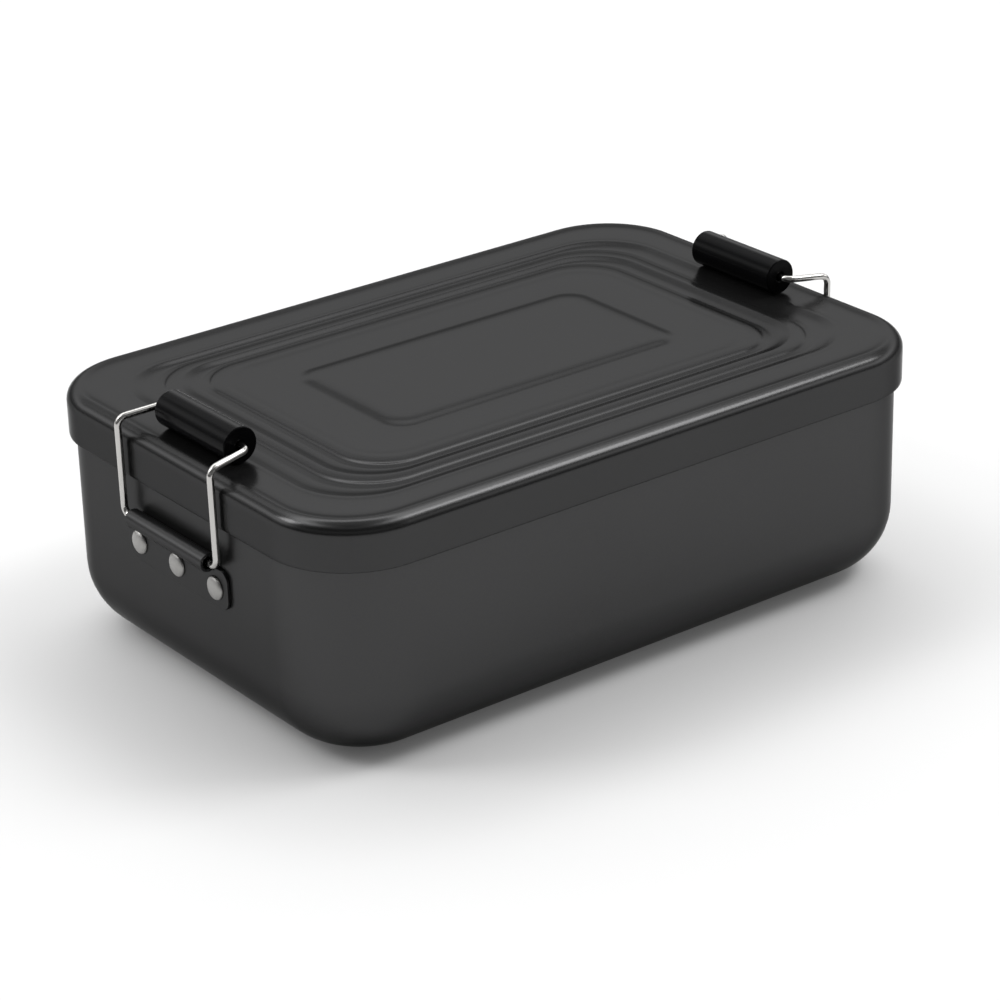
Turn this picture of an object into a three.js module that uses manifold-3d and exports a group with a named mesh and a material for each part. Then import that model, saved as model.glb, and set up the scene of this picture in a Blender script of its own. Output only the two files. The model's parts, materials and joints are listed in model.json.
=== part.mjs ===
// A metal lunch box: a deep-drawn tray, a ribbed lift-off lid, and at each end a wire
// clip that swings on a riveted bracket and hooks over the lid with a plastic grip.
// Millimetres, +Z up, X along the length, the origin under the middle of the base.
import * as THREE from "three";
import { mergeVertices } from "three/addons/utils/BufferGeometryUtils.js";
import Module from "manifold-3d";

const wasm = await Module();
wasm.setup();

// ---- driving dimensions -------------------------------------------------------------

const LENGTH = 180;            // outside of the lid skirt, along X
const WIDTH = 122;             // outside of the lid skirt, along Y
const HEIGHT = 61.6;           // base to the lid's rim crest
const SHEET = 0.7;             // lid and tray sheet thickness
const FIT = 0.3;               // clearance between pieces that slide past each other
const TOUCH = 0.08;            // clearance between pieces that sit on each other

const SKIRT_BOTTOM = 50;       // height of the lid skirt's lower edge
const LID_CORNER = 22;         // plan radius of the lid's corners
const LID_FILLET = 3.4;        // edge radius round the lid's top
const LID_FILLET_STEPS = 4;    // facets in that edge
const RING_SEGMENTS = 8;       // facets in each plan corner

const TRAY_RIM = 58.8;         // height of the tray's rim
const TRAY_CORNER = 23;        // plan radius of the tray's corners
const TRAY_FILLET = 17.3;      // radius between the tray's wall and its base
const FILLET_STEPS = 7;        // facets in the tray's bottom fillet

// The lid's pressed top, from the rim crest inwards: half length, half width, corner
// radius and height. Two beads run round a flat panel with a raised rectangle.
const LID_PRESSING = [
  [86, 57, 18.3, 61.52],
  [85, 56, 18, 61.36],
  [83.4, 54.4, 17.8, 61.25],
  [79.2, 50.2, 17.4, 61.2],
  [77.9, 48.6, 17, 61.25],
  [77, 47.9, 16.8, 61.15],
  [75, 46.9, 16.4, 60.85],
  [72.8, 45.9, 16, 60.7],
  [71.5, 45.1, 15.8, 60.77],
  [70.4, 44.2, 15.5, 60.89],
  [69.9, 43.7, 15.3, 61.13],
  [69, 42.8, 15.1, 61.27],
  [67.6, 41.2, 14.7, 61.35],
  [66.6, 40.5, 14.3, 61.22],
  [64.9, 39.4, 13.8, 60.9],
  [63.1, 38.7, 13.4, 60.78],
  [62.2, 38, 13.1, 60.84],
  [61.2, 37.1, 12.8, 60.96],
  [60.7, 36.6, 12.6, 61.2],
  [59.7, 35.6, 12.3, 61.34],
  [58, 33.8, 11.7, 61.42],
  [55.5, 31, 11, 61.3],
  [43.6, 22.2, 6.6, 61.3],
  [42.5, 21.1, 6.1, 61.4],
  [40.9, 19.5, 5.3, 61.72],
  [39.4, 18, 4.6, 61.85],
];

const BRACKET = {
  sheet: 0.8,                  // bracket sheet thickness
  halfWidth: 20.5,             // half the plate's width, along Y
  bottom: 29.7,                // height of the plate's lower edge
  top: 39.4,                   // height of the plate's upper edge beside the barrel
  corner: 2.6,                 // radius of the plate's corners
  barrelHalf: 15.8,            // half the rolled barrel's length
  barrelOuter: 2.25,           // radius of the barrel
  barrelInner: 1.3,            // radius of its bore
  rollEnd: -0.72 * Math.PI,    // where the rolled edge comes back to the plate
  innerEnd: 1.01 * Math.PI,    // where the bore's arc runs into the plate's outer face
};
const PIVOT_HEIGHT = 41;       // height of the barrel's axis

const RIVET = {
  height: 34.4,                // height of the rivets' axes
  pitch: 15.8,                 // spacing along Y
  shank: 1.5,                  // shank radius
  head: 2.9,                   // radius of the low domed head outside
  dome: 1.2,                   // height of that head
  rim: 0.25,                   // height of the head's straight rim under its dome
  domeSteps: 3,
  tail: 2.5,                   // radius of the formed head inside the tray
  tailHeight: 0.8,
  tailTip: 2.1,                // radius of that head's flat end
  sides: 14,
  holeSides: 16,
  holeLength: 6,               // length of the cutters that make the rivets' holes
};

const WIRE = {
  radius: 0.85,                // 1.7 mm wire
  armHalf: 19.2,               // half the spacing of the two arms
  hookHalf: 17,                // half the spacing of the hook where it turns into the grip
  endHalf: 7,                  // how near the middle each end comes inside the barrel
  hookHeight: 64.7,            // height where each arm turns inwards
  lean: 0.2,                   // how far the arms lean out from pivot to hook
  bend: 2.2,                   // length taken from each run by a bend
  nearest: 0.48,               // largest share of a run that one bend may take
  steps: 100,
  sides: 8,
};

const GRIP = {
  axisInset: 9.8,              // grip axis, inwards from the lid's end
  axisHeight: 65.75,
  radius: 4.4,                 // the roll round the wire
  bore: 1.15,
  half: 14.3,                  // half the grip's length
  edge: 0.3,                   // bevel round each end
  sides: 32,
};

// ---- derived places -------------------------------------------------------------------

const lidHalfX = LENGTH / 2;
const lidHalfY = WIDTH / 2;
const trayHalfX = lidHalfX - SHEET - FIT;
const trayHalfY = lidHalfY - SHEET - FIT;
const plateBack = trayHalfX + TOUCH;                    // distance of the plate's back from X = 0
const plateFace = plateBack + BRACKET.sheet;
const pivotX = plateBack + BRACKET.barrelOuter;         // distance of the pivot from X = 0
const gripX = lidHalfX - GRIP.axisInset;                // distance of the grip's axis from X = 0

// ---- materials --------------------------------------------------------------------------

const coating = new THREE.MeshStandardMaterial({ color: 0x2b2b2c, roughness: 0.45, metalness: 0.5 });
const steel = new THREE.MeshStandardMaterial({ color: 0xc4c2be, roughness: 0.25, metalness: 1.0 });
const alloy = new THREE.MeshStandardMaterial({ color: 0xb5b2ae, roughness: 0.4, metalness: 1.0 });
const plastic = new THREE.MeshStandardMaterial({ color: 0x0a0a0b, roughness: 0.25, metalness: 0.0 });

// ---- geometry helpers ---------------------------------------------------------------------

// Points of a rounded rectangle, counter-clockwise, as [x, y] pairs.
function ringPoints(halfX, halfY, radius) {
  const points = [];
  for (let quarter = 0; quarter < 4; quarter++) {
    const signX = quarter === 0 || quarter === 3 ? 1 : -1;
    const signY = quarter < 2 ? 1 : -1;
    for (let step = 0; step <= RING_SEGMENTS; step++) {
      const angle = (quarter + step / RING_SEGMENTS) * (Math.PI / 2);
      points.push([
        signX * (halfX - radius) + radius * Math.cos(angle),
        signY * (halfY - radius) + radius * Math.sin(angle),
      ]);
    }
  }
  return points;
}

// A closed body through a list of level rings, capped flat across its first and last.
function loftRings(rings) {
  const positions = [];
  const indices = [];
  const count = 4 * (RING_SEGMENTS + 1);
  for (const [halfX, halfY, radius, height] of rings) {
    for (const [x, y] of ringPoints(halfX, halfY, radius)) positions.push(x, y, height);
  }
  for (let ring = 0; ring + 1 < rings.length; ring++) {
    for (let step = 0; step < count; step++) {
      const next = (step + 1) % count;
      const a = ring * count + step;
      const b = ring * count + next;
      const c = (ring + 1) * count + next;
      const d = (ring + 1) * count + step;
      indices.push(a, b, c, a, c, d);
    }
  }
  const last = (rings.length - 1) * count;
  for (let step = 1; step + 1 < count; step++) {
    indices.push(0, step + 1, step);
    indices.push(last, last + step, last + step + 1);
  }
  const geometry = new THREE.BufferGeometry();
  geometry.setAttribute("position", new THREE.Float32BufferAttribute(positions, 3));
  geometry.setIndex(indices);
  geometry.computeVertexNormals();
  return geometry;
}

function toManifold(geometry) {
  const bare = geometry.clone();
  bare.deleteAttribute("normal");
  bare.deleteAttribute("uv");
  const merged = mergeVertices(bare, 1e-4);
  return new wasm.Manifold(new wasm.Mesh({
    numProp: 3,
    vertProperties: new Float32Array(merged.attributes.position.array),
    triVerts: new Uint32Array(merged.index.array),
  }));
}

function fromManifold(solid) {
  const mesh = solid.getMesh();
  const geometry = new THREE.BufferGeometry();
  geometry.setAttribute("position", new THREE.BufferAttribute(mesh.vertProperties, 3));
  geometry.setIndex(new THREE.BufferAttribute(mesh.triVerts, 1));
  geometry.computeVertexNormals();
  return geometry;
}

function named(name, geometry, material) {
  const mesh = new THREE.Mesh(geometry, material);
  mesh.name = name;
  return mesh;
}

// An outline drawn in the XZ plane, extruded along Y and centred on Y = 0.
function extrudeAlongY(shape, halfLength, curveSegments = 10) {
  const geometry = new THREE.ExtrudeGeometry(shape, {
    depth: 2 * halfLength,
    bevelEnabled: false,
    curveSegments,
  });
  geometry.translate(0, 0, -halfLength);
  geometry.rotateX(Math.PI / 2);
  return geometry;
}

function roundedRectangle(left, bottom, right, top, radius) {
  const shape = new THREE.Shape();
  shape.moveTo(left + radius, bottom);
  shape.lineTo(right - radius, bottom);
  shape.absarc(right - radius, bottom + radius, radius, -Math.PI / 2, 0);
  shape.lineTo(right, top - radius);
  shape.absarc(right - radius, top - radius, radius, 0, Math.PI / 2);
  shape.lineTo(left + radius, top);
  shape.absarc(left + radius, top - radius, radius, Math.PI / 2, Math.PI);
  shape.lineTo(left, bottom + radius);
  shape.absarc(left + radius, bottom + radius, radius, Math.PI, 1.5 * Math.PI);
  return shape;
}

// ---- tray -------------------------------------------------------------------------------

// Rings of the tray's outside, or of its inside at the given depth into the sheet.
function traySkin(depth) {
  const rings = [];
  const fillet = TRAY_FILLET - depth;
  for (let step = 0; step <= FILLET_STEPS; step++) {
    const angle = (step / FILLET_STEPS) * (Math.PI / 2);
    const inset = TRAY_FILLET - fillet * Math.sin(angle);
    rings.push([
      trayHalfX - inset,
      trayHalfY - inset,
      TRAY_CORNER - inset,
      TRAY_FILLET - fillet * Math.cos(angle),
    ]);
  }
  rings.push([trayHalfX - depth, trayHalfY - depth, TRAY_CORNER - depth, TRAY_RIM]);
  return rings;
}

function rivetHoles() {
  const holes = [];
  for (const end of [-1, 1]) {
    for (const place of [-1, 0, 1]) {
      const radius = RIVET.shank + TOUCH;
      const hole = new THREE.CylinderGeometry(radius, radius, RIVET.holeLength, RIVET.holeSides);
      hole.rotateZ(Math.PI / 2);
      hole.translate(end * trayHalfX, place * RIVET.pitch, RIVET.height);
      holes.push(toManifold(hole));
    }
  }
  return holes;
}

function makeTray() {
  const shell = loftRings([...traySkin(0), ...traySkin(SHEET).reverse()]);
  let solid = toManifold(shell);
  for (const hole of rivetHoles()) solid = solid.subtract(hole);
  return named("tray", fromManifold(solid), coating);
}

// ---- lid --------------------------------------------------------------------------------

// Rings of the lid's outside from skirt to middle, or of its underside one sheet within.
function lidSkin(depth) {
  const rings = [[lidHalfX - depth, lidHalfY - depth, LID_CORNER - depth, SKIRT_BOTTOM]];
  const fillet = LID_FILLET - depth;
  for (let step = 0; step <= LID_FILLET_STEPS; step++) {
    const angle = (step / LID_FILLET_STEPS) * (Math.PI / 2);
    const inset = LID_FILLET - fillet * Math.cos(angle);
    rings.push([
      lidHalfX - inset,
      lidHalfY - inset,
      LID_CORNER - inset,
      HEIGHT - LID_FILLET + fillet * Math.sin(angle),
    ]);
  }
  for (const [halfX, halfY, radius, height] of LID_PRESSING) {
    rings.push([halfX, halfY, radius, height - depth]);
  }
  return rings;
}

function makeLid() {
  return named("lid", loftRings([...lidSkin(SHEET).reverse(), ...lidSkin(0)]), coating);
}

// ---- one end's clip ---------------------------------------------------------------------
// Each piece is drawn for the end at +X; the group for the other end is turned half round.

function makeBracket(name) {
  const plateOutline = roundedRectangle(
    -BRACKET.halfWidth, BRACKET.bottom, BRACKET.halfWidth, BRACKET.top, BRACKET.corner,
  );
  const plate = new THREE.ExtrudeGeometry(plateOutline, {
    depth: BRACKET.sheet, bevelEnabled: false, curveSegments: 5,
  });
  plate.rotateX(Math.PI / 2);
  plate.rotateZ(Math.PI / 2);
  plate.translate(plateBack, 0, 0);

  // The barrel's section: up the plate's line, over the top and round to the plate again.
  const { barrelOuter, barrelInner, barrelHalf, rollEnd, innerEnd, sheet } = BRACKET;
  const rise = PIVOT_HEIGHT - BRACKET.top + 1;
  const roll = new THREE.Shape();
  roll.moveTo(-barrelOuter, -rise);
  roll.lineTo(-barrelOuter, 0);
  roll.absarc(0, 0, barrelOuter, Math.PI, rollEnd, true);
  roll.absarc(0, 0, barrelInner, rollEnd, innerEnd, false);
  roll.lineTo(-barrelOuter + sheet, 0);
  roll.lineTo(-barrelOuter + sheet, -rise);
  roll.closePath();
  const barrel = extrudeAlongY(roll, barrelHalf, 14);
  barrel.translate(pivotX, 0, PIVOT_HEIGHT);

  let solid = toManifold(plate).add(toManifold(barrel));
  for (const hole of rivetHoles()) solid = solid.subtract(hole);
  return named(name, fromManifold(solid), coating);
}

function makeRivet(name, place) {
  const { tail, tailTip, tailHeight, shank, head, rim, dome, domeSteps, sides } = RIVET;
  const wallInside = trayHalfX - SHEET - TOUCH;
  const headBase = plateFace + TOUCH;
  const profile = [
    [0, wallInside - tailHeight],
    [tailTip, wallInside - tailHeight],
    [tail, wallInside - tailHeight / 2],
    [tail, wallInside],
    [shank, wallInside],
    [shank, headBase],
    [head, headBase],
  ];
  for (let step = 0; step < domeSteps; step++) {
    const angle = (step / domeSteps) * (Math.PI / 2);
    profile.push([head * Math.cos(angle), headBase + rim + (dome - rim) * Math.sin(angle)]);
  }
  profile.push([0, headBase + dome]);
  const points = profile.map(([radius, along]) => new THREE.Vector2(radius, along));
  const geometry = new THREE.LatheGeometry(points, sides);
  geometry.rotateZ(-Math.PI / 2);
  geometry.translate(0, place * RIVET.pitch, RIVET.height);
  return named(name, geometry, alloy);
}

// The wire's centre line as straight runs joined by rounded bends.
function wirePath(corners, bend) {
  const path = new THREE.CurvePath();
  let start = corners[0];
  for (let i = 1; i + 1 < corners.length; i++) {
    const corner = corners[i];
    const before = corner.distanceTo(corners[i - 1]);
    const after = corner.distanceTo(corners[i + 1]);
    const reach = Math.min(bend, WIRE.nearest * before, WIRE.nearest * after);
    const entry = corner.clone().lerp(corners[i - 1], reach / before);
    const exit = corner.clone().lerp(corners[i + 1], reach / after);
    path.add(new THREE.LineCurve3(start, entry));
    path.add(new THREE.QuadraticBezierCurve3(entry, corner, exit));
    start = exit;
  }
  path.add(new THREE.LineCurve3(start, corners[corners.length - 1]));
  return path;
}

function makeBail(name) {
  const half = [
    new THREE.Vector3(pivotX, WIRE.endHalf, PIVOT_HEIGHT),
    new THREE.Vector3(pivotX, WIRE.armHalf, PIVOT_HEIGHT),
    new THREE.Vector3(pivotX + WIRE.lean, WIRE.armHalf, WIRE.hookHeight),
    new THREE.Vector3(gripX, WIRE.hookHalf, GRIP.axisHeight),
  ];
  const other = half.map((point) => new THREE.Vector3(point.x, -point.y, point.z)).reverse();
  const section = new THREE.Shape();
  section.absarc(0, 0, WIRE.radius, 0, 2 * Math.PI);
  const geometry = new THREE.ExtrudeGeometry(section, {
    steps: WIRE.steps,
    curveSegments: WIRE.sides / 2,
    extrudePath: wirePath([...half, ...other], WIRE.bend),
  });
  return named(name, geometry, steel);
}

// A roll with a bore along it and a bevel round each end, turned about the wire's axis.
function makeGrip(name) {
  const { radius, bore, half, edge, sides } = GRIP;
  const profile = [
    [bore, -half],
    [radius - edge, -half],
    [radius, -half + edge],
    [radius, half - edge],
    [radius - edge, half],
    [bore, half],
    [bore, -half],
  ];
  const points = profile.map(([across, along]) => new THREE.Vector2(across, along));
  const geometry = new THREE.LatheGeometry(points, sides);
  geometry.translate(gripX, 0, GRIP.axisHeight);
  return named(name, geometry, plastic);
}

function makeEnd(side) {
  const end = new THREE.Group();
  end.add(makeBracket(`${side}_clip_bracket`));
  end.add(makeRivet(`${side}_rivet_front`, side === "left" ? 1 : -1));
  end.add(makeRivet(`${side}_rivet_middle`, 0));
  end.add(makeRivet(`${side}_rivet_rear`, side === "left" ? -1 : 1));
  end.add(makeBail(`${side}_wire_bail`));
  end.add(makeGrip(`${side}_grip`));
  if (side === "left") end.rotation.z = Math.PI;
  return end;
}

const lunchBox = new THREE.Group();
lunchBox.add(makeTray(), makeLid(), makeEnd("left"), makeEnd("right"));

export default lunchBox;
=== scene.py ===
"""A black metal lunch box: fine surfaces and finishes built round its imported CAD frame."""
import json
import math

import bmesh
import bpy
from bpy.props import FloatProperty, FloatVectorProperty, IntProperty, PointerProperty
from mathutils import Matrix, Vector


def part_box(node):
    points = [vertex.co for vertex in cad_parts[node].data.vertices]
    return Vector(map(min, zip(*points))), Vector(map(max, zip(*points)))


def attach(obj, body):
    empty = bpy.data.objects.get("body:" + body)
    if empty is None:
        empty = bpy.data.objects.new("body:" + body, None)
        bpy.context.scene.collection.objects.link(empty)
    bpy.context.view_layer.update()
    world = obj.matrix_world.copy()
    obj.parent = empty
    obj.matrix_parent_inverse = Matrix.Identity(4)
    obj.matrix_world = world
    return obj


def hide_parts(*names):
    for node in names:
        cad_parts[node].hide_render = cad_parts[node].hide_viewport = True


bl_info = {
    "name": "Metal Lunch Box",
    "version": (1, 0, 0),
    "blender": (4, 5, 0),
    "location": "View3D > Sidebar > Lunch Box",
    "description": "Builds a coated metal lunch box with two wire clips and its studio stage",
    "category": "Add Mesh",
}

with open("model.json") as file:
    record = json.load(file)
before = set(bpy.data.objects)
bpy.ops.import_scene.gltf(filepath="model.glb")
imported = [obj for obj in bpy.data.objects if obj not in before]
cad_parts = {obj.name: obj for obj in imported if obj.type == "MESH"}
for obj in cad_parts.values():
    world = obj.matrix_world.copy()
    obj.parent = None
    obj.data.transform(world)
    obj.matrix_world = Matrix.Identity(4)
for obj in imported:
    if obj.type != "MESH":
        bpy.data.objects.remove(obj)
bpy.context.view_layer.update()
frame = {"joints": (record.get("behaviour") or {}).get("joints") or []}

MM = 0.001
SIDES = {"left": -1, "right": 1}
TURNS = {"left": math.pi, "right": 0.0}

# ---- places read from the frame -----------------------------------------------------

joints = {joint["name"]: joint for joint in frame["joints"]}
lid_low, lid_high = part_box("lid")
tray_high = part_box("tray")[1]
plate_low, plate_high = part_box("right_clip_bracket")
rivet_low, rivet_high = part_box("right_rivet_middle")
front_rivet_low, front_rivet_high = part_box("right_rivet_front")
bail_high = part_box("right_wire_bail")[1]
grip_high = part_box("right_grip")[1]

PIVOT = Vector(joints["right_bail_swing"]["pos_m"])
GRIP_AXIS = Vector(joints["right_grip_turn"]["pos_m"])
GRIP_RADIUS = grip_high.z - GRIP_AXIS.z
RIVET_PITCH = abs(front_rivet_low.y + front_rivet_high.y) / 2
RIVET_HEIGHT = (rivet_low.z + rivet_high.z) / 2
RIVET_HEAD = (rivet_high.z - rivet_low.z) / 2

# ---- fixed sizes ---------------------------------------------------------------------

# The lid's pressed top from its middle outwards: half length, half width, corner radius
# and height, in millimetres. A raised rectangle, a flat panel, two beads, then the rim.
LID_PRESSING = [
    (39.4, 18, 4.6, 61.85),
    (40.9, 19.5, 5.3, 61.72),
    (42.5, 21.1, 6.1, 61.4),
    (43.6, 22.2, 6.6, 61.3),
    (55.5, 31, 11, 61.3),
    (58, 33.8, 11.7, 61.42),
    (59.7, 35.6, 12.3, 61.34),
    (60.7, 36.6, 12.6, 61.2),
    (61.2, 37.1, 12.8, 60.96),
    (62.2, 38, 13.1, 60.84),
    (63.1, 38.7, 13.4, 60.78),
    (64.9, 39.4, 13.8, 60.9),
    (66.6, 40.5, 14.3, 61.22),
    (67.6, 41.2, 14.7, 61.35),
    (69, 42.8, 15.1, 61.27),
    (69.9, 43.7, 15.3, 61.13),
    (70.4, 44.2, 15.5, 60.89),
    (71.5, 45.1, 15.8, 60.77),
    (72.8, 45.9, 16, 60.7),
    (75, 46.9, 16.4, 60.85),
    (77, 47.9, 16.8, 61.15),
    (77.9, 48.6, 17, 61.25),
    (79.2, 50.2, 17.4, 61.2),
    (83.4, 54.4, 17.8, 61.25),
    (85, 56, 18, 61.36),
    (86, 57, 18.3, 61.52),
    (86.6, 57.6, 18.6, 61.6),
]
LID_CREST = LID_PRESSING[-1][3] * MM

# Faces round the fillets and the sheets' rounded edges, and faces from one lid station to
# the next on the outside and on the underside.
TRAY_FILLET_STEPS = 14
LID_FILLET_STEPS = 10
LIP_STEPS = 6
PRESSING_STEPS = 4
UNDERSIDE_STEPS = 2

# The bracket's barrel: how far its strip is rolled, and the faces round the roll.
ROLL_ANGLE = math.radians(305)
ROLL_STEPS = 44

# The rivets: radii of the shank and the formed tail, the tail's bevel and thickness, the
# head's rim and the faces round.
RIVET_SHANK = 1.5 * MM
RIVET_TAIL = 2.5 * MM
RIVET_TAIL_TIP = 2.0 * MM
RIVET_TAIL_SHOULDER = 2.4 * MM
RIVET_TAIL_BEVEL = 0.25 * MM
RIVET_TAIL_THICKNESS = 0.8 * MM
RIVET_RIM = 0.22 * MM
RIVET_SIDES = 48

# The wire: where its ends stand in the barrel, from the barrel's middle, the faces round it
# and along a bend, and the share of the shorter run that a bend may take up.
WIRE_END = 7 * MM
WIRE_SIDES = 20
WIRE_BEND_STEPS = 10
WIRE_BEND_SHARE = 0.45
GRIP_SIDES = 72

# Corners closer than this are one corner.
WELD = 0.001 * MM

# Half the floor's width, and the lights: name, place, width, depth and the stage's setting
# that holds its power.
FLOOR_HALF = 6.0
SOFTBOXES = (
    ("back_softbox", (0.35, 0.80, 1.00), 1.5, 0.35, "back_power"),
    ("key_softbox", (-0.85, 0.55, 0.90), 0.4, 0.4, "key_power"),
    ("side_softbox", (0.62, -0.37, 0.86), 0.35, 0.35, "side_power"),
)

# Brightness of the surroundings against the sine of the angle above the horizon.
SKY_STOPS = (
    (0.0, 0.04), (0.22, 0.25), (0.34, 0.92), (0.45, 0.84),
    (0.55, 0.16), (0.74, 0.24), (0.86, 1.8), (0.95, 0.2),
)

# Level direction of the studio's unlit side, and how the light falls away towards it.
UNLIT_SIDE = (-0.6, -0.8)
UNLIT_STOPS = ((0.08, 1.0), (0.4, 0.12))


# ---- sizes and colours that a user may change ------------------------------------------

class LunchBoxShell(bpy.types.PropertyGroup):
    """Sizes of the tray and the lid."""
    sheet: FloatProperty(
        name="Sheet", description="Thickness of the tray's and the lid's sheet",
        default=0.7 * MM, min=0.3 * MM, unit="LENGTH")
    lid_corner: FloatProperty(
        name="Lid corner", description="Plan radius of the lid's corners",
        default=22 * MM, unit="LENGTH")
    lid_fillet: FloatProperty(
        name="Lid edge", description="Radius round the lid's top edge",
        default=3.4 * MM, unit="LENGTH")
    tray_corner: FloatProperty(
        name="Tray corner", description="Plan radius of the tray's corners",
        default=23 * MM, unit="LENGTH")
    tray_fillet: FloatProperty(
        name="Tray bottom radius", description="Radius between the tray's wall and its base",
        default=17.3 * MM, unit="LENGTH")
    corner_segments: IntProperty(
        name="Corner segments", description="Faces round each plan corner",
        default=18, min=4)


class LunchBoxClip(bpy.types.PropertyGroup):
    """Sizes of the wire clips."""
    plate_sheet: FloatProperty(
        name="Bracket sheet", description="Thickness of the bracket's sheet",
        default=0.8 * MM, unit="LENGTH")
    plate_top: FloatProperty(
        name="Plate top", description="Height of the plate's upper edge beside the barrel",
        default=39.4 * MM, unit="LENGTH")
    plate_corner: FloatProperty(
        name="Plate corner", description="Radius of the plate's corners",
        default=2.6 * MM, unit="LENGTH")
    barrel_half: FloatProperty(
        name="Barrel half length", description="Half the length of the rolled barrel",
        default=15.8 * MM, unit="LENGTH")
    wire_radius: FloatProperty(
        name="Wire radius", description="Radius of the bail wire",
        default=0.85 * MM, unit="LENGTH")
    hook_half: FloatProperty(
        name="Hook half width", description="Half the hook's width where it enters the grip",
        default=17 * MM, unit="LENGTH")
    hook_height: FloatProperty(
        name="Hook height", description="Height where each arm of the wire turns inwards",
        default=64.7 * MM, unit="LENGTH")
    wire_lean: FloatProperty(
        name="Wire lean", description="How far the arms lean outwards over their height",
        default=0.2 * MM, unit="LENGTH")
    wire_bend: FloatProperty(
        name="Wire bend", description="Centre-line radius of the bends",
        default=2.2 * MM, unit="LENGTH")
    grip_bore: FloatProperty(
        name="Grip bore", description="Radius of the grip's bore",
        default=1.15 * MM, unit="LENGTH")
    grip_edge: FloatProperty(
        name="Grip edge", description="Rounding of the grip's ends",
        default=0.35 * MM, unit="LENGTH")
    rivet_dome: FloatProperty(
        name="Rivet dome", description="Height of the rivets' heads",
        default=1.2 * MM, unit="LENGTH")


class LunchBoxFinish(bpy.types.PropertyGroup):
    """Colours of the finishes."""
    coating: FloatVectorProperty(
        name="Coating", description="Colour of the tray's and the lid's coating",
        subtype="COLOR", size=3, default=(0.057, 0.057, 0.0575))
    bracket: FloatVectorProperty(
        name="Bracket paint", description="Colour of the brackets' paint",
        subtype="COLOR", size=3, default=(0.055, 0.055, 0.0555))
    wire: FloatVectorProperty(
        name="Wire", description="Colour of the drawn steel wire",
        subtype="COLOR", size=3, default=(0.52, 0.51, 0.495))
    rivet: FloatVectorProperty(
        name="Rivets", description="Colour of the rivets' bare aluminium",
        subtype="COLOR", size=3, default=(0.36, 0.355, 0.345))
    plastic: FloatVectorProperty(
        name="Grips", description="Colour of the grips' plastic",
        subtype="COLOR", size=3, default=(0.0025, 0.0025, 0.0028))


class LunchBoxStage(bpy.types.PropertyGroup):
    """Camera, floor and lights."""
    azimuth: FloatProperty(
        name="Camera azimuth", description="Angle of the camera round the box",
        default=math.radians(-37.08), subtype="ANGLE")
    elevation: FloatProperty(
        name="Camera elevation", description="Angle of the camera above the floor",
        default=math.radians(24.43), subtype="ANGLE")
    roll: FloatProperty(
        name="Camera roll", description="Turn of the camera about its own axis",
        default=math.radians(-1.46), subtype="ANGLE")
    distance: FloatProperty(
        name="Camera distance", description="Distance from the box's middle",
        default=796.4 * MM, unit="LENGTH")
    aim_right: FloatProperty(
        name="Aim right", description="How far the camera's aim lies right of the box's middle",
        default=1.9 * MM, unit="LENGTH")
    aim_up: FloatProperty(
        name="Aim up", description="How far the camera's aim lies above the box's middle",
        default=-6.55 * MM, unit="LENGTH")
    aim_height: FloatProperty(
        name="Aim height", description="Height of the box's middle, round which the camera turns",
        default=31 * MM, unit="LENGTH")
    lens: FloatProperty(
        name="Lens", description="Focal length, in millimetres", default=118.44)
    back_power: FloatProperty(
        name="Back light", description="Power of the wide light behind, in watts", default=1.5)
    key_power: FloatProperty(
        name="Key light", description="Power of the soft light at the left, in watts",
        default=4.0)
    side_power: FloatProperty(
        name="Side light", description="Power of the soft light at the right, in watts",
        default=3.0)
    surround: FloatProperty(
        name="Surround", description="Strength of the surroundings", default=2.6)
    floor_glow: FloatProperty(
        name="Floor glow", description="Light given off by the floor itself", default=0.05)


# ---- shader writing --------------------------------------------------------------------

class Value:
    """A number that varies over a surface: a node's output that takes part in sums."""

    def __init__(self, shader, socket):
        self.shader = shader
        self.socket = socket

    def maths(self, operation, *others):
        values = dict(enumerate(others))
        return self.shader.node("ShaderNodeMath", {"operation": operation}, values)

    def __add__(self, other):
        return self.maths("ADD", self, other)

    def __sub__(self, other):
        return self.maths("SUBTRACT", self, other)

    def __rsub__(self, other):
        return self.maths("SUBTRACT", other, self)

    def __mul__(self, other):
        return self.maths("MULTIPLY", self, other)

    __radd__ = __add__
    __rmul__ = __mul__


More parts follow.
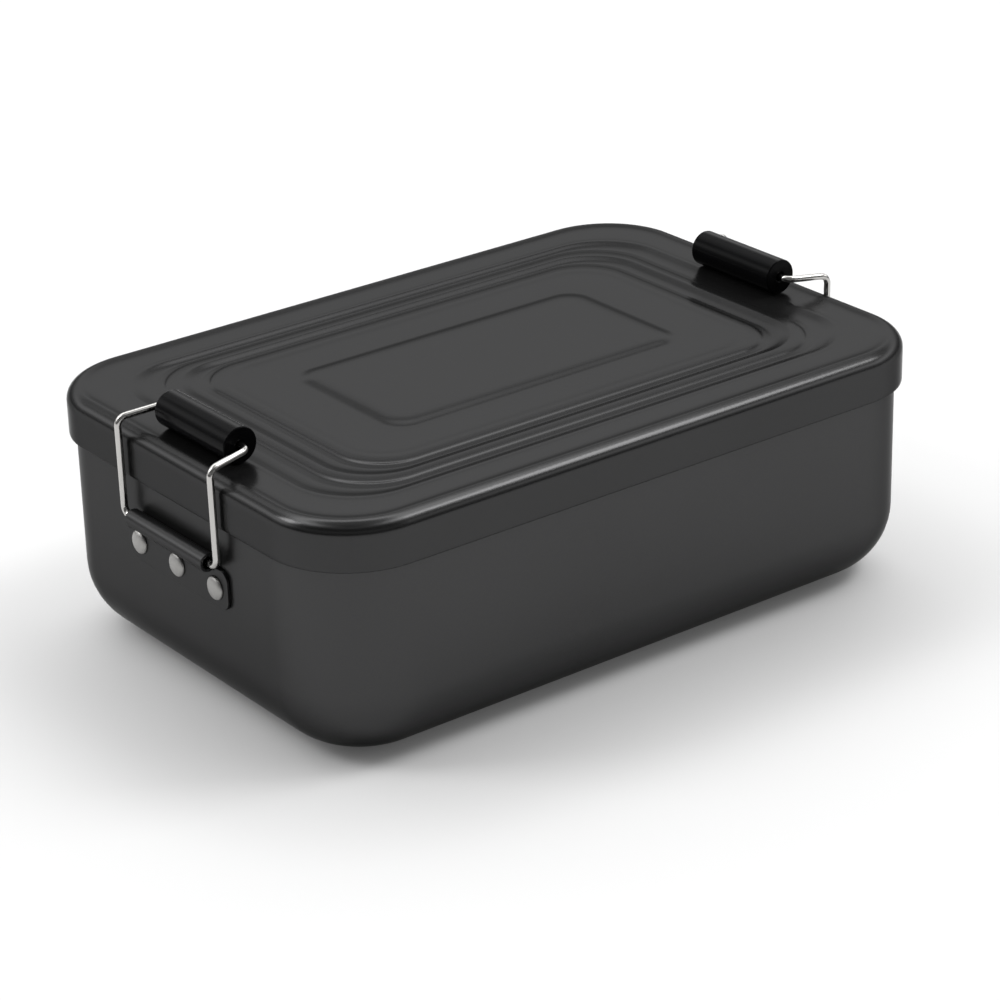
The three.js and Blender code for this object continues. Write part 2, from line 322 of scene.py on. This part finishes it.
class Shader:
    """A material, or the surroundings, whose nodes are written as expressions."""

    def __init__(self, owner, surface="Principled BSDF"):
        self.owner = owner
        self.owner.use_nodes = True
        self.tree = self.owner.node_tree
        self.surface = self.tree.nodes[surface]

    def put(self, socket, value):
        if isinstance(value, Value):
            self.tree.links.new(value.socket, socket)
        else:
            socket.default_value = value

    def node(self, kind, settings, inputs, output=0):
        made = self.tree.nodes.new(kind)
        for name, setting in settings.items():
            if name == "stops":
                self.set_stops(made.color_ramp, setting)
            else:
                setattr(made, name, setting)
        for name, value in inputs.items():
            self.put(made.inputs[name], value)
        return Value(self, made.outputs[output])

    @staticmethod
    def set_stops(ramp, stops):
        while len(ramp.elements) < len(stops):
            ramp.elements.new(0.5)
        for element, (position, level) in zip(ramp.elements, stops):
            element.position = position
            element.color = (level, level, level, 1.0)

    def place(self):
        return self.node("ShaderNodeTexCoord", {}, {}, "Object")

    def stretched(self, scale):
        inputs = {"Vector": self.place(), "Scale": scale}
        return self.node("ShaderNodeMapping", {}, inputs, "Vector")

    def noise(self, size, detail=2.0, vector=None, roughness=0.5):
        inputs = {
            "Vector": vector or self.place(), "Scale": 1.0 / size,
            "Detail": detail, "Roughness": roughness,
        }
        return self.node("ShaderNodeTexNoise", {}, inputs, "Fac")

    def ramp(self, value, *stops):
        return self.node("ShaderNodeValToRGB", {"stops": stops}, {"Fac": value}, "Color")

    def tint(self, factor, first, second):
        settings = {"data_type": "RGBA", "blend_type": "MIX"}
        inputs = {0: factor, 6: (*first, 1.0), 7: (*second, 1.0)}
        return self.node("ShaderNodeMix", settings, inputs, 2)

    def bump(self, height, depth):
        inputs = {"Height": height, "Distance": depth, "Strength": 1.0}
        return self.node("ShaderNodeBump", {}, inputs, "Normal")

    def set(self, **sockets):
        for name, value in sockets.items():
            self.put(self.surface.inputs[name.replace("_", " ")], value)
        return self.owner


def material_shader(name):
    """A new material's shader."""
    return Shader(bpy.data.materials.new(name))


def shaded(colour, factor):
    """A colour made lighter or darker by a factor."""
    return tuple(channel * factor for channel in colour)


def coating_finish(name, colour, roughness, grain):
    """Satin black coating on sheet metal, with a fine even grain and slightly uneven sheen."""
    shader = material_shader(name)
    speckle = shader.noise(0.35 * MM, detail=3.0)
    cloud = shader.noise(35 * MM)
    peel = shader.noise(1.1 * MM, detail=1.0)
    mix = speckle * 0.55 + cloud * 0.45
    height = speckle * 0.6 + peel * 0.4
    return shader.set(
        Base_Color=shader.tint(mix, shaded(colour, 0.86), shaded(colour, 1.14)),
        Roughness=roughness + (cloud - 0.5) * 0.06 + (speckle - 0.5) * 0.08,
        Normal=shader.bump(height, grain),
        Metallic=0.85,
        Specular_Tint=(0.38, 0.38, 0.38, 1.0),
    )


def wire_finish(name, colour):
    """Bright drawn steel with faint scratches."""
    shader = material_shader(name)
    scratch = shader.noise(0.25 * MM, detail=4.0, roughness=0.7)
    cloud = shader.noise(6 * MM)
    return shader.set(
        Base_Color=shader.tint(cloud, shaded(colour, 0.88), shaded(colour, 1.05)),
        Roughness=0.13 + scratch * 0.1,
        Normal=shader.bump(scratch, 0.006 * MM),
        Metallic=1.0,
    )


def rivet_finish(name, colour):
    """Satin aluminium, a little mottled by the setting tool."""
    shader = material_shader(name)
    mottle = shader.noise(0.9 * MM, detail=3.0, roughness=0.6)
    fine = shader.noise(0.18 * MM)
    return shader.set(
        Base_Color=shader.tint(mottle, shaded(colour, 0.82), shaded(colour, 1.08)),
        Roughness=0.36 + mottle * 0.14,
        Normal=shader.bump(fine * 0.5 + mottle * 0.5, 0.02 * MM),
        Metallic=1.0,
    )


def plastic_finish(name, colour):
    """Glossy black moulded plastic with faint flow marks."""
    shader = material_shader(name)
    flow = shader.noise(3 * MM, vector=shader.stretched((1.0, 0.25, 1.0)))
    fine = shader.noise(0.4 * MM)
    return shader.set(
        Base_Color=shader.tint(flow, shaded(colour, 0.7), shaded(colour, 1.5)),
        Roughness=0.15 + flow * 0.1 + fine * 0.04,
        Normal=shader.bump(flow * 0.7 + fine * 0.3, 0.012 * MM),
        IOR=1.18,
        Specular_IOR_Level=0.25,
    )


def floor_finish(name, glow):
    """The plain pale floor, which gives off a little light."""
    shader = material_shader(name)
    cloud = shader.noise(400 * MM)
    return shader.set(
        Base_Color=shader.tint(cloud, (0.69, 0.69, 0.69), (0.72, 0.72, 0.72)),
        Roughness=0.9,
        Emission_Color=(1.0, 1.0, 1.0, 1.0),
        Emission_Strength=glow,
    )


def surroundings(name, strength):
    """A studio lit in bands above the horizon, dark right overhead and on one side."""
    shader = Shader(bpy.data.worlds.new(name), "Background")
    way = shader.node("ShaderNodeTexCoord", {}, {}, "Generated")
    east = shader.node("ShaderNodeSeparateXYZ", {}, {"Vector": way}, "X")
    north = shader.node("ShaderNodeSeparateXYZ", {}, {"Vector": way}, "Y")
    rise = shader.node("ShaderNodeSeparateXYZ", {}, {"Vector": way}, "Z")
    unlit = east * UNLIT_SIDE[0] + north * UNLIT_SIDE[1]
    light = shader.ramp(rise, *SKY_STOPS) * shader.ramp(unlit, *UNLIT_STOPS)
    return shader.set(Color=light, Strength=strength)


# ---- mesh helpers ------------------------------------------------------------------------

def corner_centre(ring, sign_x, sign_y):
    """The centre of one of a ring's corner arcs."""
    half_x, half_y, radius, height = ring
    return Vector((sign_x * (half_x - radius), sign_y * (half_y - radius), height))


def start_ring(bm, ring, segments):
    """A level rounded rectangle as one face; returns its edges."""
    half_x, half_y, radius, height = ring
    bmesh.ops.create_grid(bm, x_segments=1, y_segments=1, size=1.0)
    bmesh.ops.scale(bm, vec=(half_x, half_y, 1.0), verts=bm.verts)
    bmesh.ops.bevel(
        bm, geom=list(bm.verts), offset=radius, offset_type="OFFSET",
        segments=segments, profile=0.5, affect="VERTICES", material=-1)
    bmesh.ops.translate(bm, vec=(0.0, 0.0, height), verts=bm.verts)
    return list(bm.edges)


def next_ring(bm, edges, old, new):
    """Extrudes a ring of edges and moves its four corners onto the next ring."""
    verts = verts_of(bmesh.ops.extrude_edge_only(bm, edges=edges))
    grow = new[2] / old[2]
    for sign_x in (-1, 1):
        for sign_y in (-1, 1):
            corner = [v for v in verts if v.co.x * sign_x > 0 and v.co.y * sign_y > 0]
            start = corner_centre(old, sign_x, sign_y)
            end = corner_centre(new, sign_x, sign_y)
            bmesh.ops.scale(
                bm, vec=(grow, grow, 1.0), space=Matrix.Translation(-start), verts=corner)
            bmesh.ops.translate(bm, vec=end - start, verts=corner)
    fresh = set(verts)
    return [e for e in bm.edges if e.verts[0] in fresh and e.verts[1] in fresh]


def loft(rings, segments):
    """A closed body through level rings, flat across the first and the last."""
    bm = bmesh.new()
    edges = start_ring(bm, rings[0], segments)
    for old, new in zip(rings, rings[1:]):
        edges = next_ring(bm, edges, old, new)
    bmesh.ops.edgeloop_fill(bm, edges=edges)
    bmesh.ops.recalc_face_normals(bm, faces=bm.faces)
    return bm


def arc_steps(start, end, steps):
    """Angles in radians from start to end, which are in degrees and both included."""
    return [math.radians(start + (end - start) * i / steps) for i in range(steps + 1)]


def eased(stations, steps):
    """Rings between stations whose height follows one smooth curve."""
    slopes = []
    for i, station in enumerate(stations):
        before = stations[max(i - 1, 0)]
        after = stations[min(i + 1, len(stations) - 1)]
        slopes.append((after[3] - before[3]) / (after[1] - before[1]))
    rings = []
    for i in range(len(stations) - 1):
        a, b = stations[i], stations[i + 1]
        run = b[1] - a[1]
        for step in range(steps):
            t = step / steps
            ring = [a[k] + (b[k] - a[k]) * t for k in range(3)]
            rise = (2 * t**3 - 3 * t**2 + 1) * a[3] + (3 * t**2 - 2 * t**3) * b[3]
            rise += (t**3 - 2 * t**2 + t) * run * slopes[i]
            rise += (t**3 - t**2) * run * slopes[i + 1]
            rings.append((*ring, rise))
    rings.append(stations[-1])
    return rings


def finished(bm, name, material, edge=0.0, turn=0.0):
    """Turns a bmesh into a smooth object, with its sharp edges eased."""
    if turn:
        bmesh.ops.rotate(bm, cent=(0, 0, 0), matrix=Matrix.Rotation(turn, 3, "Z"), verts=bm.verts)
    mesh = bpy.data.meshes.new(name)
    bm.to_mesh(mesh)
    bm.free()
    mesh.shade_smooth()
    mesh.materials.append(material)
    piece = bpy.data.objects.new(name, mesh)
    bpy.context.scene.collection.objects.link(piece)
    if edge:
        bevel = piece.modifiers.new("Eased edges", "BEVEL")
        bevel.width = edge
        bevel.segments = 3
        bevel.limit_method = "ANGLE"
        bevel.angle_limit = math.radians(40)
        weighted = piece.modifiers.new("Even shading", "WEIGHTED_NORMAL")
        weighted.keep_sharp = True
    return piece


def verts_of(result):
    """The corners that an extrusion made."""
    return [item for item in result["geom"] if isinstance(item, bmesh.types.BMVert)]


def edges_of(result):
    """The open edges at the end of a spin."""
    return [item for item in result["geom_last"] if isinstance(item, bmesh.types.BMEdge)]


# ---- tray --------------------------------------------------------------------------------

class LUNCHBOX_OT_tray(bpy.types.Operator):
    """Build the deep-drawn tray"""
    bl_idname = "lunchbox.tray"
    bl_label = "Tray"

    def skin(self, size, depth):
        """Rings up the tray's wall, at a depth into its sheet."""
        half_x, half_y = tray_high.x, tray_high.y
        fillet = size.tray_fillet - depth
        rings = []
        for angle in arc_steps(0, 90, TRAY_FILLET_STEPS):
            inset = size.tray_fillet - fillet * math.sin(angle)
            rings.append((
                half_x - inset, half_y - inset, size.tray_corner - inset,
                size.tray_fillet - fillet * math.cos(angle)))
        flat = list(rings[0])
        rings.insert(0, (flat[0] - MM, flat[1] - MM, flat[2] - MM, flat[3]))
        wall = rings[-1]
        for height in (wall[3] + MM, tray_high.z - 1.5 * MM, tray_high.z - size.sheet / 2):
            rings.append((*wall[:3], height))
        return rings

    def execute(self, context):
        size = context.scene.lunchbox_shell
        lip = size.sheet / 2
        rings = self.skin(size, 0.0)
        half_x, half_y, radius, height = rings[-1]
        for angle in arc_steps(0, 180, LIP_STEPS)[1:-1]:
            inset = lip - lip * math.cos(angle)
            rise = lip * math.sin(angle)
            rings.append((half_x - inset, half_y - inset, radius - inset, height + rise))
        rings += reversed(self.skin(size, size.sheet))
        colour = context.scene.lunchbox_finish.coating
        material = coating_finish("tray_coating", colour, roughness=0.3, grain=0.012 * MM)
        piece = finished(loft(rings, size.corner_segments), "tray_shell", material)
        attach(piece, "tray_body")
        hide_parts("tray")
        return {"FINISHED"}


# ---- lid ---------------------------------------------------------------------------------

class LUNCHBOX_OT_lid(bpy.types.Operator):
    """Build the pressed lid"""
    bl_idname = "lunchbox.lid"
    bl_label = "Lid"

    def skin(self, size, depth, steps):
        """Rings from the middle of the lid out and down its skirt, at a depth into its sheet."""
        top = [tuple(value * MM for value in station) for station in LID_PRESSING]
        half_x, half_y, radius, height = top[0]
        rings = [(half_x - 2 * MM, half_y - 2 * MM, radius - 2 * MM, height)]
        rings += eased(top, steps)[:-1]
        rings = [(*ring[:3], ring[3] - depth) for ring in rings]
        fillet = size.lid_fillet - depth
        for angle in arc_steps(90, 0, LID_FILLET_STEPS):
            inset = size.lid_fillet - fillet * math.cos(angle)
            rings.append((
                lid_high.x - inset, lid_high.y - inset, size.lid_corner - inset,
                LID_CREST - size.lid_fillet + fillet * math.sin(angle)))
        wall = rings[-1]
        for height in (wall[3] - 0.8 * MM, lid_low.z + 1.2 * MM, lid_low.z + size.sheet / 2):
            rings.append((*wall[:3], height))
        return rings

    def execute(self, context):
        size = context.scene.lunchbox_shell
        lip = size.sheet / 2
        rings = self.skin(size, 0.0, PRESSING_STEPS)
        half_x, half_y, radius, height = rings[-1]
        for angle in arc_steps(0, 180, LIP_STEPS)[1:-1]:
            inset = lip - lip * math.cos(angle)
            drop = lip * math.sin(angle)
            rings.append((half_x - inset, half_y - inset, radius - inset, height - drop))
        rings += reversed(self.skin(size, size.sheet, UNDERSIDE_STEPS))
        # Painted shade: the lid takes the tray's coating made darker by a factor of 0.77, so its
        # top reads darker than the tray, though both carry the same coating.
        colour = shaded(context.scene.lunchbox_finish.coating, 0.77)
        material = coating_finish("lid_coating", colour, roughness=0.22, grain=0.010 * MM)
        piece = finished(loft(rings, size.corner_segments), "lid_shell", material)
        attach(piece, "lid_body")
        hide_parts("lid")
        return {"FINISHED"}


# ---- clips -------------------------------------------------------------------------------

class LUNCHBOX_OT_brackets(bpy.types.Operator):
    """Build the two brackets, each a plate whose top edge is rolled into a barrel"""
    bl_idname = "lunchbox.brackets"
    bl_label = "Brackets"

    def plate(self, bm, size):
        """The flat plate, drawn lying down and then stood up."""
        half_width = plate_high.y
        half_height = (size.plate_top - plate_low.z) / 2
        bmesh.ops.create_grid(bm, x_segments=1, y_segments=1, size=1.0)
        bmesh.ops.scale(bm, vec=(half_width, half_height, 1.0), verts=bm.verts)
        bmesh.ops.bevel(
            bm, geom=list(bm.verts), offset=size.plate_corner, offset_type="OFFSET",
            segments=10, profile=0.5, affect="VERTICES", material=-1)
        made = bmesh.ops.extrude_face_region(bm, geom=list(bm.faces))
        bmesh.ops.translate(bm, vec=(0, 0, size.plate_sheet), verts=verts_of(made))
        stand = Matrix.Rotation(math.pi / 2, 3, "Z") @ Matrix.Rotation(math.pi / 2, 3, "X")
        bmesh.ops.rotate(bm, cent=(0, 0, 0), matrix=stand, verts=bm.verts)
        middle = (size.plate_top + plate_low.z) / 2
        bmesh.ops.translate(bm, vec=(plate_low.x, 0, middle), verts=bm.verts)

    def barrel(self, bm, size):
        """The strip that rises from the plate and is rolled over the wire."""
        foot = bmesh.ops.create_grid(bm, x_segments=1, y_segments=1, size=1.0)["verts"]
        bmesh.ops.scale(
            bm, vec=(size.plate_sheet / 2, size.barrel_half, 1.0), verts=foot)
        bmesh.ops.translate(
            bm, vec=(plate_low.x + size.plate_sheet / 2, 0, size.plate_top - MM), verts=foot)
        face = foot[0].link_faces[0]
        made = bmesh.ops.extrude_face_region(bm, geom=[face])
        risen = verts_of(made)
        bmesh.ops.translate(bm, vec=(0, 0, PIVOT.z - size.plate_top + MM), verts=risen)
        top = [f for f in risen[0].link_faces if all(v in risen for v in f.verts)]
        rim = [e for f in top for e in f.edges] + [v for f in top for v in f.verts]
        bmesh.ops.spin(
            bm, geom=top + list(dict.fromkeys(rim)), cent=PIVOT, axis=(0, 1, 0), dvec=(0, 0, 0),
            angle=ROLL_ANGLE, steps=ROLL_STEPS, use_merge=False)

    def execute(self, context):
        size = context.scene.lunchbox_clip
        colour = context.scene.lunchbox_finish.bracket
        material = coating_finish("bracket_paint", colour, roughness=0.3, grain=0.01 * MM)
        for side in SIDES:
            bm = bmesh.new()
            self.plate(bm, size)
            self.barrel(bm, size)
            bmesh.ops.remove_doubles(bm, verts=bm.verts, dist=WELD)
            bmesh.ops.recalc_face_normals(bm, faces=bm.faces)
            piece = finished(
                bm, f"{side}_bracket_sheet", material, edge=0.14 * MM, turn=TURNS[side])
            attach(piece, "tray_body")
            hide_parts(f"{side}_clip_bracket")
        return {"FINISHED"}


class LUNCHBOX_OT_rivets(bpy.types.Operator):
    """Build the six rivets"""
    bl_idname = "lunchbox.rivets"
    bl_label = "Rivets"

    def outline(self, size):
        """Half of the rivet's section, as distance along X and radius."""
        seat = plate_low.x + size.plate_sheet
        tail = rivet_low.x
        wall = tail + RIVET_TAIL_THICKNESS
        points = [
            (tail, 0.0), (tail, RIVET_TAIL_TIP), (tail + RIVET_TAIL_BEVEL, RIVET_TAIL_SHOULDER),
            (wall, RIVET_TAIL), (wall, RIVET_SHANK), (seat, RIVET_SHANK),
            (seat, RIVET_HEAD - 0.05 * MM), (seat + RIVET_RIM / 2, RIVET_HEAD),
        ]
        for angle in arc_steps(0, 90, 10):
            out = RIVET_RIM + (size.rivet_dome - RIVET_RIM) * math.sin(angle)
            points.append((seat + out, (RIVET_HEAD - 0.04 * MM) * math.cos(angle)))
        points[-1] = (points[-1][0], 0.0)
        return points

    def execute(self, context):
        size = context.scene.lunchbox_clip
        material = rivet_finish("rivet_aluminium", context.scene.lunchbox_finish.rivet)
        places = {"front": -1, "middle": 0, "rear": 1}
        for side, sign in SIDES.items():
            for place, row in places.items():
                bm = bmesh.new()
                points = [bm.verts.new((x, 0.0, radius)) for x, radius in self.outline(size)]
                edges = [bm.edges.new(pair) for pair in zip(points, points[1:])]
                bmesh.ops.spin(
                    bm, geom=points + edges, cent=(0, 0, 0), axis=(1, 0, 0),
                    dvec=(0, 0, 0), angle=2 * math.pi, steps=RIVET_SIDES, use_merge=True)
                bmesh.ops.remove_doubles(bm, verts=bm.verts, dist=WELD)
                bmesh.ops.recalc_face_normals(bm, faces=bm.faces)
                shift = (0.0, row * sign * RIVET_PITCH, RIVET_HEIGHT)
                bmesh.ops.translate(bm, vec=shift, verts=bm.verts)
                piece = finished(
                    bm, f"{side}_{place}_rivet_head", material, turn=TURNS[side])
                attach(piece, "tray_body")
                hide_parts(f"{side}_rivet_{place}")
        return {"FINISHED"}


class LUNCHBOX_OT_bails(bpy.types.Operator):
    """Bend the two wire bails"""
    bl_idname = "lunchbox.bails"
    bl_label = "Wire bails"

    def corners(self, size):
        """The wire's corner points from one end in the barrel to the other."""
        arm_half = bail_high.y - size.wire_radius
        half = [
            Vector((PIVOT.x, WIRE_END, PIVOT.z)),
            Vector((PIVOT.x, arm_half, PIVOT.z)),
            Vector((PIVOT.x + size.wire_lean, arm_half, size.hook_height)),
            Vector((GRIP_AXIS.x, size.hook_half, GRIP_AXIS.z)),
        ]
        return half + [Vector((p.x, -p.y, p.z)) for p in reversed(half)]

    def bend(self, size):
        """A wire bent round the corners: straight runs are extruded and bends are spun."""
        corners = self.corners(size)
        bm = bmesh.new()
        bmesh.ops.create_circle(
            bm, cap_ends=True, segments=WIRE_SIDES, radius=size.wire_radius)
        heading = (corners[1] - corners[0]).normalized()
        turn = Vector((0, 0, 1)).rotation_difference(heading).to_matrix()
        bmesh.ops.rotate(bm, cent=(0, 0, 0), matrix=turn, verts=bm.verts)
        bmesh.ops.translate(bm, vec=corners[0], verts=bm.verts)
        edges = list(bm.edges)
        place = corners[0]
        for before, corner, after in zip(corners, corners[1:], corners[2:]):
            into = (corner - before).normalized()
            out = (after - corner).normalized()
            bend_angle = into.angle(out)
            trim = size.wire_bend * math.tan(bend_angle / 2)
            shorter = min((corner - before).length, (after - corner).length)
            limit = WIRE_BEND_SHARE * shorter
            radius = size.wire_bend * min(1.0, limit / trim)
            trim = min(trim, limit)
            end = corner - into * trim
            edges = self.run(bm, edges, end - place)
            axis = into.cross(out).normalized()
            centre = end + axis.cross(into) * radius
            verts = dict.fromkeys(v for e in edges for v in e.verts)
            made = bmesh.ops.spin(
                bm, geom=edges + list(verts), cent=centre, axis=axis, dvec=(0, 0, 0),
                angle=bend_angle, steps=WIRE_BEND_STEPS, use_merge=False)
            edges = edges_of(made)
            place = corner + out * trim
        edges = self.run(bm, edges, corners[-1] - place)
        bmesh.ops.edgeloop_fill(bm, edges=edges)
        bmesh.ops.remove_doubles(bm, verts=bm.verts, dist=WELD)
        bmesh.ops.recalc_face_normals(bm, faces=bm.faces)
        return bm

    def run(self, bm, edges, way):
        """Extrudes the wire's open end straight on."""
        made = bmesh.ops.extrude_edge_only(bm, edges=edges)
        moved = verts_of(made)
        bmesh.ops.translate(bm, vec=way, verts=moved)
        return [item for item in made["geom"] if isinstance(item, bmesh.types.BMEdge)
                and all(v in moved for v in item.verts)]

    def execute(self, context):
        size = context.scene.lunchbox_clip
        material = wire_finish("bail_steel", context.scene.lunchbox_finish.wire)
        for side in SIDES:
            piece = finished(
                self.bend(size), f"{side}_bent_wire", material, edge=0.1 * MM,
                turn=TURNS[side])
            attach(piece, f"{side}_bail")
            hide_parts(f"{side}_wire_bail")
        return {"FINISHED"}


class LUNCHBOX_OT_grips(bpy.types.Operator):
    """Build the two plastic grips"""
    bl_idname = "lunchbox.grips"
    bl_label = "Grips"

    def ring(self, bm, size):
        """A flat ring between the roll's outline and its bore."""
        for radius in (GRIP_RADIUS, size.grip_bore):
            bmesh.ops.create_circle(bm, cap_ends=False, segments=GRIP_SIDES, radius=radius)
        bmesh.ops.bridge_loops(bm, edges=list(bm.edges))

    def execute(self, context):
        size = context.scene.lunchbox_clip
        half = grip_high.y
        lying = Matrix.Rotation(math.pi / 2, 3, "X")
        material = plastic_finish("grip_plastic", context.scene.lunchbox_finish.plastic)
        for side in SIDES:
            bm = bmesh.new()
            self.ring(bm, size)
            made = bmesh.ops.extrude_face_region(bm, geom=list(bm.faces))
            bmesh.ops.translate(bm, vec=(0, 0, 2 * half), verts=verts_of(made))
            bmesh.ops.translate(bm, vec=(0, 0, -half), verts=bm.verts)
            bmesh.ops.rotate(bm, cent=(0, 0, 0), matrix=lying, verts=bm.verts)
            bmesh.ops.translate(bm, vec=GRIP_AXIS, verts=bm.verts)
            bmesh.ops.recalc_face_normals(bm, faces=bm.faces)
            piece = finished(
                bm, f"{side}_grip_roll", material, edge=size.grip_edge, turn=TURNS[side])
            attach(piece, f"{side}_grip_body")
            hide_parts(f"{side}_grip")
        return {"FINISHED"}


# ---- stage -------------------------------------------------------------------------------

class LUNCHBOX_OT_stage(bpy.types.Operator):
    """Set up the camera, the pale floor and the lights"""
    bl_idname = "lunchbox.stage"
    bl_label = "Stage"

    def camera(self, context, stage):
        across, height = math.cos(stage.elevation), math.sin(stage.elevation)
        back = Vector((
            math.sin(stage.azimuth) * across, -math.cos(stage.azimuth) * across, height))
        level = Vector((math.cos(stage.azimuth), math.sin(stage.azimuth), 0.0))
        steep = back.cross(level)
        cosine, sine = math.cos(stage.roll), math.sin(stage.roll)
        right = cosine * level + sine * steep
        up = cosine * steep - sine * level
        middle = Vector((0.0, 0.0, stage.aim_height))
        place = middle + back * stage.distance + right * stage.aim_right + up * stage.aim_up
        data = bpy.data.cameras.new("camera")
        data.lens = stage.lens
        data.sensor_width = 36.0
        data.clip_end = 20.0
        camera = bpy.data.objects.new("camera", data)
        facing = Matrix((right, up, back)).transposed().to_4x4()
        camera.matrix_world = Matrix.Translation(place) @ facing
        context.scene.collection.objects.link(camera)
        context.scene.camera = camera

    def lamp(self, context, name, place, aim, width, depth, power):
        data = bpy.data.lights.new(name, "AREA")
        data.shape = "RECTANGLE"
        data.size = width
        data.size_y = depth
        data.energy = power
        lamp = bpy.data.objects.new(name, data)
        lamp.location = place
        lamp.rotation_euler = (Vector(aim) - Vector(place)).to_track_quat("-Z", "Y").to_euler()
        context.scene.collection.objects.link(lamp)

    def execute(self, context):
        stage = context.scene.lunchbox_stage
        scene = context.scene
        self.camera(context, stage)
        bm = bmesh.new()
        bmesh.ops.create_grid(bm, x_segments=8, y_segments=8, size=FLOOR_HALF)
        floor = finished(bm, "floor", floor_finish("floor_white", stage.floor_glow))
        scene.world = surroundings("surroundings", stage.surround)
        middle = (0.0, 0.0, stage.aim_height)
        for name, place, width, depth, power in SOFTBOXES:
            self.lamp(context, name, place, middle, width, depth, getattr(stage, power))
        scene.view_settings.view_transform = "Standard"
        scene.view_settings.look = "None"
        return {"FINISHED"}


# ---- panel and registration ----------------------------------------------------------------

OPERATORS = (
    LUNCHBOX_OT_stage, LUNCHBOX_OT_tray, LUNCHBOX_OT_lid, LUNCHBOX_OT_brackets,
    LUNCHBOX_OT_rivets, LUNCHBOX_OT_bails, LUNCHBOX_OT_grips,
)
GROUPS = {
    "lunchbox_shell": LunchBoxShell,
    "lunchbox_clip": LunchBoxClip,
    "lunchbox_finish": LunchBoxFinish,
    "lunchbox_stage": LunchBoxStage,
}


class LUNCHBOX_PT_panel(bpy.types.Panel):
    """Lists the lunch box's sizes, finishes and builders"""
    bl_idname = "LUNCHBOX_PT_panel"
    bl_label = "Lunch Box"
    bl_space_type = "VIEW_3D"
    bl_region_type = "UI"
    bl_category = "Lunch Box"

    def draw(self, context):
        for name, group in GROUPS.items():
            column = self.layout.column(align=True)
            for setting in group.__annotations__:
                column.prop(getattr(context.scene, name), setting)
        for operator in OPERATORS:
            self.layout.operator(operator.bl_idname)


def register():
    for group in GROUPS.values():
        bpy.utils.register_class(group)
    for operator in OPERATORS:
        bpy.utils.register_class(operator)
    bpy.utils.register_class(LUNCHBOX_PT_panel)
    for name, group in GROUPS.items():
        setattr(bpy.types.Scene, name, PointerProperty(type=group))


def unregister():
    for name in GROUPS:
        delattr(bpy.types.Scene, name)
    bpy.utils.unregister_class(LUNCHBOX_PT_panel)
    for operator in reversed(OPERATORS):
        bpy.utils.unregister_class(operator)
    for group in reversed(list(GROUPS.values())):
        bpy.utils.unregister_class(group)


def main():
    register()
    bpy.ops.lunchbox.stage()
    bpy.ops.lunchbox.tray()
    bpy.ops.lunchbox.lid()
    bpy.ops.lunchbox.brackets()
    bpy.ops.lunchbox.rivets()
    bpy.ops.lunchbox.bails()
    bpy.ops.lunchbox.grips()


if __name__ == "__main__":
    main()
